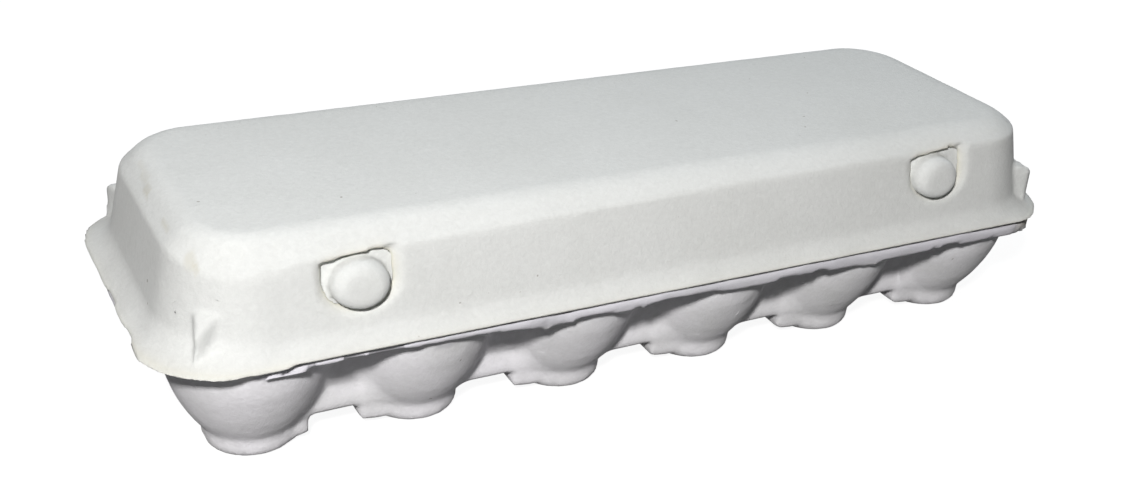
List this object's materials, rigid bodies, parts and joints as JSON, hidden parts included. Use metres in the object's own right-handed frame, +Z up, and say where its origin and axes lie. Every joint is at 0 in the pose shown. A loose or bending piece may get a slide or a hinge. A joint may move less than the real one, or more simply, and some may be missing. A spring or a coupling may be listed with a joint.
{
  "type": "egg box",
  "caption": "Moulded pulp egg box: a tray of cups on round feet under a hinged lid with a flared flange, corner lugs and button locks.",
  "frame": {"origin": "on the ground under the middle of the closed box", "axes": "+X along the length, -Y to the front with the two locks, +Z up"},
  "size_m": [0.3, 0.109, 0.0685],
  "materials": {
    "pulp": "matt moulded paper pulp, off-white"
  },
  "bodies": {
    "tray": {"tray": "pulp", "lock_flap": "pulp"},
    "lid": {"lid": "pulp"}
  },
  "joints": [
    {"name": "lid_hinge", "type": "hinge", "parent": "tray", "child": "lid", "pos_m": [0, 0.0545, 0.0375], "axis": [-1, 0, 0], "range_deg": [0, 180], "deforming": ["lock_flap"]}
  ]
}
